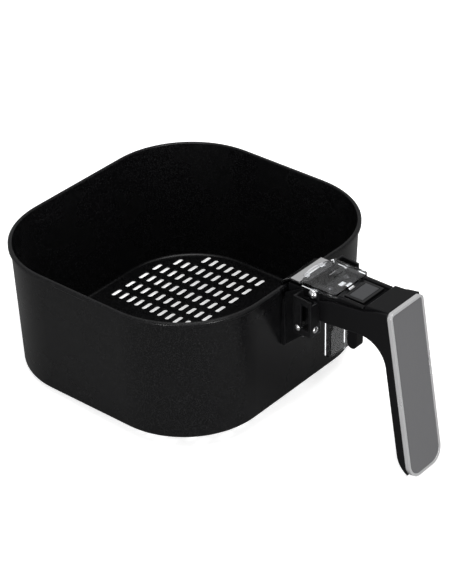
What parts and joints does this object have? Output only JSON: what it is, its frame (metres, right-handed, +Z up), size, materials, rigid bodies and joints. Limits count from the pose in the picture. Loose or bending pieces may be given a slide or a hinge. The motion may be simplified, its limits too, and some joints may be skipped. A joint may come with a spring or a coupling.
{
  "type": "air fryer basket",
  "caption": "Square-round black frying basket with slotted floor, drop-down grip handle, polished rim strap, sliding clear button guard and drawer latch.",
  "frame": {"origin": "centre of the basket's flat base, on its underside", "axes": "+Z up out of the basket, -Y toward the handle, X across the handle"},
  "size_m": [0.215, 0.3026, 0.1204],
  "materials": {
    "coated_steel": "satin non-stick coating with fine sparkle",
    "black_steel": "satin",
    "polished_steel": "polished",
    "bright_fastener": "satin",
    "dark_fastener": "blackened",
    "black_plastic": "satin",
    "gloss_black": "gloss",
    "button_grey": "satin",
    "clear_plastic": "clear gloss",
    "bright_trim": "satin",
    "grey_plate": "fine brushed, lacquered"
  },
  "bodies": {
    "basket": {"basket_tub": "coated_steel", "wall_plate": "black_steel", "plate_rivets": "bright_fastener", "arm_bracket": "black_steel", "left_ear": "black_steel", "right_ear": "black_steel", "ear_rivets": "bright_fastener", "side_screws": "bright_fastener", "rim_strap": "polished_steel", "strap_screws": "bright_fastener", "arm_core": "black_plastic", "handle_shell": "black_plastic", "arm_deck": "black_plastic", "deck_screws": "dark_fastener", "button_frame": "gloss_black", "arm_end_cap": "black_plastic", "button_springs": "bright_fastener", "guard_detent": "polished_steel", "latch_pin": "bright_fastener", "latch_spring": "bright_fastener", "latch_guide": "clear_plastic", "grip_core": "black_steel", "grip_frame": "bright_trim", "grip_plate": "grey_plate", "grip_screws": "dark_fastener"},
    "button": {"release_button": "button_grey"},
    "guard": {"button_guard": "clear_plastic"},
    "latch": {"latch_hook": "black_plastic"}
  },
  "joints": [
    {"name": "button_press", "type": "slide", "parent": "basket", "child": "button", "axis": [0, 0, -1], "range_m": [0, 0.0022], "stiffness_N_per_m": 600, "springref_m": -0.002, "deforming": ["button_springs"]},
    {"name": "guard_slide", "type": "slide", "parent": "basket", "child": "guard", "axis": [0, -1, 0], "range_m": [0, 0.019]},
    {"name": "latch_swing", "type": "hinge", "parent": "basket", "child": "latch", "pos_m": [0, -0.157, 0.086], "axis": [-1, 0, 0], "range_deg": [0, 13.3]}
  ],
  "couplings": [
    {"joint": "latch_swing", "follows": "button_press", "rad_per_m": 105}
  ]
}
